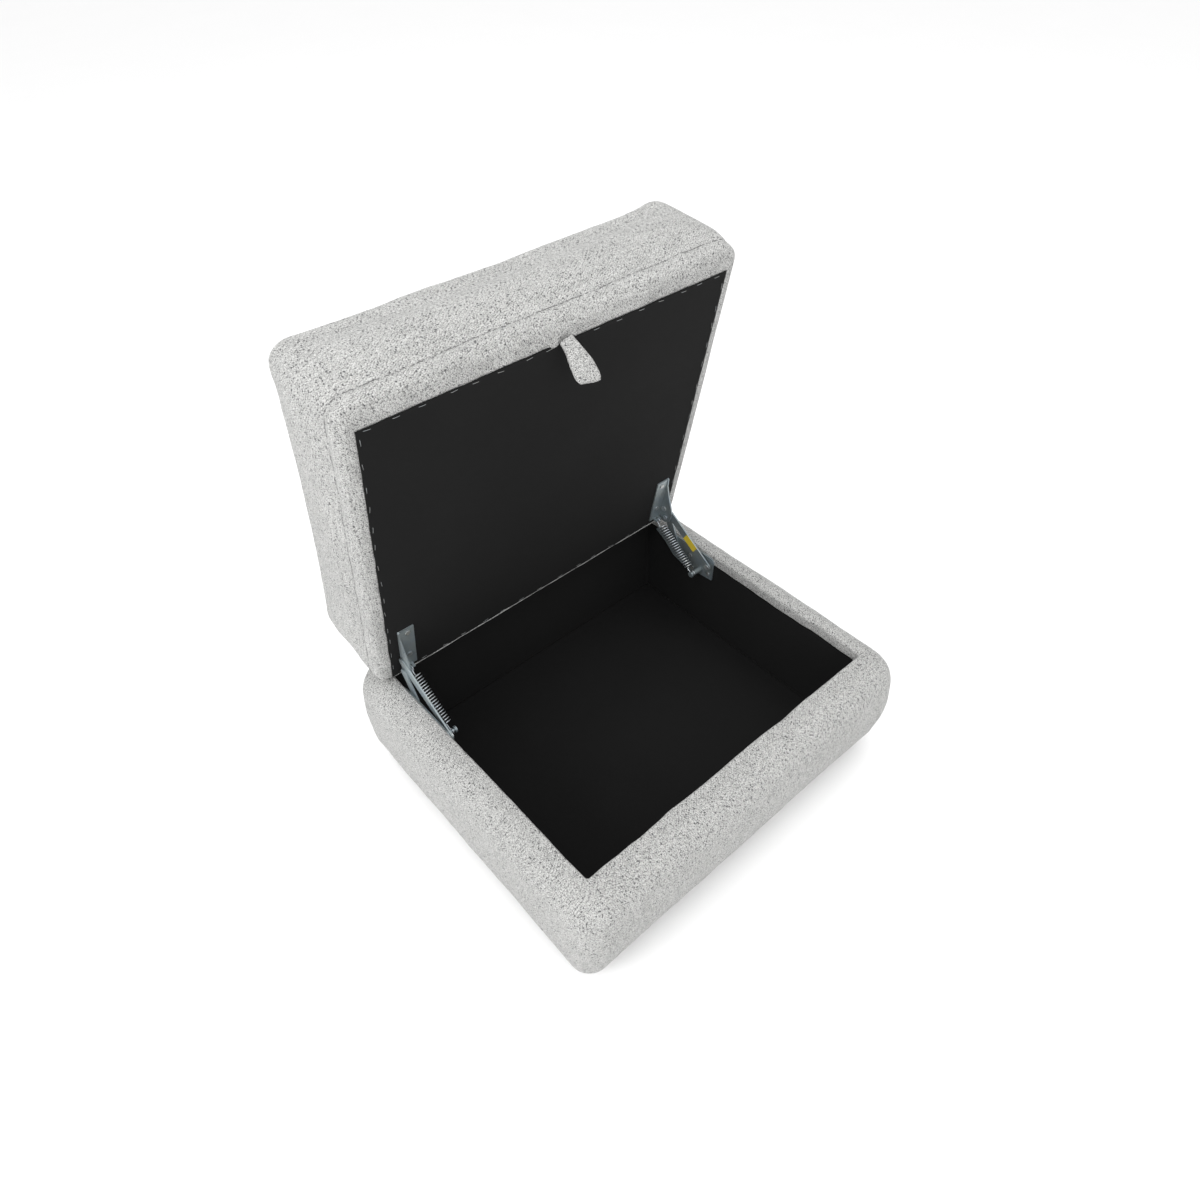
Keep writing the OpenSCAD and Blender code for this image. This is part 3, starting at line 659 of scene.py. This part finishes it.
def staple_mesh(places, name, matrix, body, node):
    """Bent wire staples. Each place is (x, y, z, turn), seen from the side that z points away from."""
    verts, faces = [], []
    half, r, leg = 0.0046, 0.00028, 0.0014
    path = [(-half, leg), (-half * 0.97, 0.0004), (-half * 0.86, 0.0), (0.0, -0.00012),
            (half * 0.86, 0.0), (half * 0.97, 0.0004), (half, leg)]
    for x, y, z, turn in places:
        rings = []
        for i, (px, pz) in enumerate(path):
            a = path[min(i + 1, len(path) - 1)]
            b = path[max(i - 1, 0)]
            tx, tz = a[0] - b[0], a[1] - b[1]
            ln = math.hypot(tx, tz)
            tx, tz = tx / ln, tz / ln
            ring = []
            for k in range(8):
                q = 2 * math.pi * k / 8
                lx, ly = px - tz * r * math.cos(q), r * 1.35 * math.sin(q)
                ring.append((x + lx * math.cos(turn) - ly * math.sin(turn),
                             y + lx * math.sin(turn) + ly * math.cos(turn), z + pz + tx * r * math.cos(q)))
            rings.append(ring)
        new_verts, new_faces = capped(rings)
        faces += [tuple(len(verts) + v for v in f) for f in new_faces]
        verts += new_verts
    o = piece(name, verts, faces, STAPLE, matrix)
    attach(o, body)
    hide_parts(node)


def lid_staples():
    """A row along each edge of the lining, with a gap in the front one where the pull tab is."""
    rnd = random.Random(11)
    inset, z = 0.0034, -0.0015
    out = []
    for y, n in ((-LINING_FRONT + inset, 16), (-LINING_BACK - inset, 15)):
        for i in range(n):
            x = -LINING_X + 0.014 + (2 * LINING_X - 0.028) * i / (n - 1) + rnd.uniform(-0.005, 0.005)
            if abs(x) > 0.016 or y > -0.3:
                out.append((x, y + rnd.uniform(-0.0009, 0.0009), z, rnd.uniform(-0.13, 0.13)))
    run = LINING_FRONT - LINING_BACK - 0.040
    for x, n in ((-LINING_X + inset, 14), (LINING_X - inset, 14)):
        for i in range(n):
            y = -LINING_FRONT + 0.020 + run * i / (n - 1) + rnd.uniform(-0.005, 0.005)
            out.append((x + rnd.uniform(-0.0009, 0.0009), y, z, math.pi / 2 + rnd.uniform(-0.13, 0.13)))
    staple_mesh(out, "lid_lining_staples_bent", LID, "lid", "lid_lining_staples")


def dust_cover_box():
    """The dust cover's low and high corners, drawn in from the CAD's to stay under the cover's foot."""
    lo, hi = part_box("dust_cover")
    return lo + Vector((0.008, 0.024, 0)), hi - Vector((0.008, 0.006, 0))


def base_staples():
    """A row along each edge of the dust cover."""
    rnd = random.Random(23)
    lo, hi = dust_cover_box()
    inset, z = 0.007, lo.z - 0.0004
    out = []
    for y in (lo.y + inset, hi.y - inset):
        for i in range(14):
            out.append((lo.x + 0.045 + (hi.x - lo.x - 0.09) * i / 13 + rnd.uniform(-0.004, 0.004),
                        y + rnd.uniform(-0.001, 0.001), z, rnd.uniform(-0.2, 0.2)))
    for x in (lo.x + inset, hi.x - inset):
        for i in range(12):
            out.append((x + rnd.uniform(-0.001, 0.001),
                        lo.y + 0.045 + (hi.y - lo.y - 0.09) * i / 11 + rnd.uniform(-0.004, 0.004),
                        z, math.pi / 2 + rnd.uniform(-0.2, 0.2)))
    staple_mesh(out, "dust_cover_staples_bent", None, "base", "dust_cover_staples")


lid_staples()
base_staples()
make_lid_lining()


# ---- Lining of the well and the dust cover ----
def cloth(name, rows, across, node, flat, held, rests_on, closed=False, with_pieces=()):
    """A thin sheet from rows of points, given a thickness. across is the number of points in a row."""
    verts = [p for row in rows for p in row]
    steps = across if closed else across - 1
    faces = [(j * across + i, j * across + (i + 1) % across,
              (j + 1) * across + (i + 1) % across, (j + 1) * across + i)
             for j in range(len(rows) - 1) for i in range(steps)]
    o = piece(name, verts, faces, LINING)
    thicken(o)
    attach(o, "base")
    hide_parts(node)


def make_wall_lining():
    """A band of cloth around the well, tacked to the frame, with its slack in shallow folds."""
    lo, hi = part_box("wall_lining")
    tuck = 0.00035
    path = loop_path(lo.x + tuck, hi.x - tuck, lo.y + tuck, hi.y - tuck, 0.004, corner=4, edge=100)
    rows, levels = [], 26
    for j in range(levels + 1):
        v = j / levels
        z = lo.z + (hi.z - lo.z) * v
        loose = math.sin(math.pi * min(max((v - 0.02) / 0.96, 0), 1)) ** 0.6
        row = []
        for i, (x, y) in enumerate(path):
            (ax, ay), (bx, by) = path[i - 1], path[(i + 1) % len(path)]
            run = math.hypot(bx - ax, by - ay)
            nx, ny = (by - ay) / run, (ax - bx) / run
            slack = 0.5 + noise.noise(Vector((x * 7, y * 7, z * 5 + 3)))
            fold = 0.5 + 0.9 * noise.noise(Vector((x * 38 + 9, y * 38, z * 9)))
            d = 0.0006 * max(slack, 0) + 0.0006 * max(fold, 0)
            row.append((x - nx * d * loose, y - ny * d * loose, z))
        rows.append(row)
    around = 2 * (2 * hi.x + hi.y - lo.y)
    cloth("wall_lining_cloth", rows, len(path), "wall_lining", (around, hi.z - lo.z), "stretched",
          ["frame_front_panel", "frame_back_panel", "frame_left_panel", "frame_right_panel"], closed=True)


def make_floor_lining():
    """The cloth on the well's floor, with a soft turned-up edge and a few shallow bubbles and folds."""
    lo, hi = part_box("floor_lining")
    gap = 0.0009
    w, d = hi.x - gap, (hi.y - lo.y) / 2 - gap
    mid = (lo.y + hi.y) / 2
    nx, ny = 124, 104
    rows = []
    for j in range(ny + 1):
        row = []
        for i in range(nx + 1):
            x, y = -w + 2 * w * i / nx, mid - d + 2 * d * j / ny
            edge = min(w - abs(x), d - abs(y - mid))
            swell = max(noise.noise(Vector((x * 6, y * 6, 1.5))), 0) * 0.0011
            fold = max(noise.noise(Vector((x * 30 + y * 11, y * 17, 7.5))), 0) * 0.0006
            turn = 0.0013 * math.exp(-(edge / 0.004) ** 2)
            row.append((x, y, (lo.z + hi.z) / 2 + turn + (swell + fold) * (1 - math.exp(-edge / 0.03))))
        rows.append(row)
    cloth("floor_lining_cloth", rows, nx + 1, "floor_lining", (2 * w, 2 * d), "laid", ["floor_board"])


def make_dust_cover():
    """The cloth stapled under the base, rounded at the corners and sagging a little between its staples."""
    lo, hi = dust_cover_box()
    w, d, r = hi.x, (hi.y - lo.y) / 2, 0.030
    mid = (lo.y + hi.y) / 2
    nx, ny = 116, 100
    rows = []
    for j in range(ny + 1):
        row = []
        for i in range(nx + 1):
            x, y = -w + 2 * w * i / nx, -d + 2 * d * j / ny
            cx, cy = abs(x) - (w - r), abs(y) - (d - r)
            if cx > 0 and cy > 0:
                near = max(cx, cy) / math.hypot(cx, cy)
                x = math.copysign(w - r + cx * near, x)
                y = math.copysign(d - r + cy * near, y)
            edge = max(min(w - abs(x), d - abs(y)), 0)
            pull = 0.00025 * math.cos(2 * math.pi * (x if w - abs(x) > d - abs(y) else y) / 0.038)
            sag = 0.0007 * (1 - math.exp(-edge / 0.09))
            sag += 0.0005 * max(noise.noise(Vector((x * 8, y * 8, 4))), 0)
            row.append((x, y + mid, (lo.z + hi.z) / 2 - sag + pull * math.exp(-edge / 0.012)))
        rows.append(list(reversed(row)))
    cloth("dust_cover_cloth", rows, nx + 1, "dust_cover", (2 * w, 2 * d), "stretched", ["base_upholstery"],
          with_pieces=["dust_cover_staples_bent"])


make_wall_lining()
make_floor_lining()
make_dust_cover()


# ---- Back border of the lid ----
def make_back_roll():
    """The cover's turned edge, which shows as a thin wavy line below the lining along the lid's back."""
    rings, n, m = [], 10, 170
    for k in range(m + 1):
        x = -0.288 + 0.576 * k / m
        end = min(1.0, k / 3, (m - k) / 3)
        wob = noise.noise(Vector((x * 21, 4.4, 0)))
        r = (0.00150 + 0.0003 * noise.noise(Vector((x * 60, 9.1, 0)))) * max(end, 0.25)
        c = (-0.0040 + 0.0008 * wob, 0.0004 + 0.0004 * noise.noise(Vector((x * 33, 1.2, 5))))
        turns = [2 * math.pi * i / n for i in range(n)]
        rings.append([(x, c[0] + 1.25 * r * math.cos(a), c[1] + r * math.sin(a)) for a in turns])
    o = piece("lid_back_border", *capped(rings), FABRIC, LID)
    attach(o, "lid")


make_back_roll()


# ---- Pull tab ----
def make_tab():
    """A strip of the cover folded over and padded, sewn under the lid's front edge and standing out from it."""
    rings = []
    n, count, length = 32, 30, 0.060
    lean0, lean1 = math.radians(68), math.radians(48)
    y, z = -0.5000, -0.0005
    for k in range(count + 1):
        t = k / count
        lean = lean0 + (lean1 - lean0) * t
        half = 0.0098 + 0.0084 * float(smooth01(np.array(t / 0.85)))
        thick = 0.0038 + 0.0006 * math.sin(math.pi * t)
        # The folded end closes
        if t > 0.80:
            q = (t - 0.80) / 0.20
            half *= 1 - 0.14 * q ** 2
            thick *= math.sqrt(max(1 - 0.95 * q ** 3, 0.02))
        roll = math.radians(-12 + 20 * t)
        cx = -0.0015 + 0.0010 * t
        ring = []
        for i in range(n):
            a = 2 * math.pi * i / n
            c, d = math.cos(a), math.sin(a)
            px = half * math.copysign(abs(c) ** 0.55, c)
            pt = thick * math.copysign(abs(d) ** 0.75, d) * (1 + 0.18 * (px < 0))
            px, pt = px * math.cos(roll) - pt * math.sin(roll), px * math.sin(roll) + pt * math.cos(roll)
            # The strip's own directions: across is x, along leans out, and out is square to both
            skew = (-0.10 + 0.30 * t * t) * px
            ring.append((cx + px, y + pt * math.sin(lean) + skew * math.cos(lean),
                         z + pt * math.cos(lean) - skew * math.sin(lean) - 0.0040))
        rings.append(ring)
        y += length / count * math.cos(lean)
        z -= length / count * math.sin(lean)
    o = piece("pull_tab_folded", *capped(rings), FABRIC, LID)
    subdivide(o, 2)
    co, no = coords(o), normals(o)
    set_coords(o, co + no * ((ripple(co, 60, 12) * 0.0006 + ripple(co, 180, 13) * 0.0003)[:, None]))
    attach(o, "lid")
    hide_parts("pull_tab")
    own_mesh(o)


make_tab()


# ---- Springs ----
def tube(path, r, name, mat, sides=10):
    """A round wire along points."""
    pts = [Vector(p) for p in path]
    tangent = [(pts[min(i + 1, len(pts) - 1)] - pts[max(i - 1, 0)]).normalized() for i in range(len(pts))]
    up = tangent[0].orthogonal().normalized()
    turns = [2 * math.pi * k / sides for k in range(sides)]
    rings = []
    for i, p in enumerate(pts):
        up = (up - tangent[i] * up.dot(tangent[i])).normalized()
        side = tangent[i].cross(up)
        rings.append([p + (up * math.cos(a) + side * math.sin(a)) * r for a in turns])
    return piece(name, *capped(rings), mat)


def make_springs():
    """A coil between the post and the hole in the lid's bracket, with a three-quarter hook at each end."""
    lo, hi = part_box("spring_right")
    x = (lo.x + hi.x) / 2
    post = Vector((0, *at(-122, -46)))
    hole = Vector((0, *lid_at(17.8, -6.8)))
    hook_r, wire, coil_r = 0.0042, 0.00082, 0.0066
    top = hole + (post - hole).normalized() * hook_r
    along = (top - post).normalized()
    length = (top - post).length
    across = Vector((1, 0, 0))
    third = along.cross(across)
    z0, z1, turns = 0.013, length - 0.0115, 19
    for name, sign in (("left", -1), ("right", 1)):
        c = Vector((x * sign, 0, 0))

        def spot(z, a, b):
            """z along the spring from its post, a across and b square to both."""
            return post + c + along * z + across * (a * sign) + third * b

        pts = []
        for i in range(-40, 1):
            a = math.radians(270 * i / 40)
            pts.append(spot(hook_r * math.sin(a), 0, hook_r * math.cos(a)))
        for z, b in ((0.003, 0.0044), (0.0065, 0.0052), (0.0100, 0.0061)):
            pts.append(spot(z, 0, b))
        steps = turns * 22
        for i in range(steps + 1):
            t = i / steps
            a = 2 * math.pi * turns * t
            pts.append(spot(z0 + (z1 - z0) * t, coil_r * math.sin(a), coil_r * math.cos(a)))
        for z, b in ((length - 0.0085, 0.0061), (length - 0.0055, 0.0052), (length - 0.0025, 0.0044)):
            pts.append(spot(z, 0, b))
        for i in range(41):
            a = math.radians(270 * i / 40)
            pts.append(spot(length + hook_r * math.sin(a), 0, hook_r * math.cos(a)))
        o = tube(pts, wire, "spring_coil_" + name, WIRE)
        # Painted shade: the turns' inner side is painted dark, for the shade inside the coil
        o.data.materials.append(WIRE_INNER_SHADE)
        for f in o.data.polygons:
            d = f.center - post - c
            z = d.dot(along)
            if z0 < z < z1 and (d - along * z).length < coil_r:
                f.material_index = 1
        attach(o, "springs")
        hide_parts("spring_" + name, *(["spring_hooks"] if sign > 0 else []))


make_springs()

# ---- CAD nodes that stay, with their materials and softened edges ----
KEPT = {
    STEEL: ["hinge_plate_left", "hinge_plate_right", "long_arm_left", "long_arm_right",
            "short_link_left", "short_link_right", "lid_bracket_left", "lid_bracket_right",
            "spring_post_left", "spring_post_right"],
    RIVET: ["hinge_plate_rivets", "lid_bracket_rivets"],
    SCREW: ["hinge_plate_screws", "lid_bracket_screws", "frame_screws", "glide_nails"],
    PLY: ["frame_front_panel", "frame_back_panel", "frame_left_panel", "frame_right_panel", "floor_board",
          "lid_board"],
    PINE: ["corner_blocks"],
    LABEL: ["hinge_label"],
    GLIDE: ["glides"],
}
for mat, names in KEPT.items():
    for name in names:
        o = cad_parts[name]
        o.data.materials.clear()
        o.data.materials.append(mat)
        if mat in (STEEL, RIVET, SCREW):
            b = o.modifiers.new("edges", "BEVEL")
            b.width = 0.00045 if mat is STEEL else 0.0006
            b.segments, b.limit_method, b.angle_limit = 2, "ANGLE", math.radians(40)

# ---- Stage ----
fm = Nodes("studio_floor")
fm.set(Base_Color=fm.mix(fm.noise(3, 2), grey(0.945), grey(0.96)), Roughness=0.9, Specular_IOR_Level=0.1)
floor = piece("floor", [(-9, -9, 0), (9, -9, 0), (9, 9, 0), (-9, 9, 0)], [(0, 1, 2, 3)], fm.mat)

world = bpy.data.worlds.new("studio")
scene.world = world
world.use_nodes = True
world.node_tree.nodes["Background"].inputs[0].default_value = (1.0, 1.0, 1.0, 1)
world.node_tree.nodes["Background"].inputs[1].default_value = 1.0


def softbox(name, loc, target, size, power):
    light = bpy.data.lights.new(name, "AREA")
    light.shape, light.size, light.energy = "SQUARE", size, power
    o = bpy.data.objects.new(name, light)
    o.location = loc
    o.rotation_mode = "QUATERNION"
    o.rotation_quaternion = (Vector(target) - Vector(loc)).to_track_quat("-Z", "Y")
    scene.collection.objects.link(o)


softbox("key_left", (-2.6, 0.2, 2.0), (0, 0, 0.2), 1.8, 42)
softbox("top", (0.2, -0.3, 3.2), (0, 0, 0), 2.4, 32)
softbox("front", (-0.6, -3.0, 1.6), (0, 0, 0.2), 2.0, 20)

# ---- Camera ----
YAW, PITCH, ROLL = math.radians(40.16), math.radians(44.52), math.radians(-1.65)
forward = Vector((math.sin(YAW) * math.cos(PITCH), math.cos(YAW) * math.cos(PITCH), -math.sin(PITCH)))
flat_right = Vector((math.cos(YAW), -math.sin(YAW), 0))
flat_up = flat_right.cross(forward)
right = flat_right * math.cos(ROLL) + flat_up * math.sin(ROLL)
up = -flat_right * math.sin(ROLL) + flat_up * math.cos(ROLL)
cam_data = bpy.data.cameras.new("camera")
cam_data.sensor_width, cam_data.lens = 36.0, 25.806
cam = bpy.data.objects.new("camera", cam_data)
place = Vector((-0.58976, HINGE_Y - 0.86776, RIM + 0.99113))
cam.matrix_world = Matrix((
    (right.x, up.x, -forward.x, place.x),
    (right.y, up.y, -forward.y, place.y),
    (right.z, up.z, -forward.z, place.z),
    (0, 0, 0, 1)))
scene.collection.objects.link(cam)
scene.camera = cam
scene.view_settings.view_transform = "Standard"
scene.view_settings.look = "None"

bpy.context.view_layer.update()
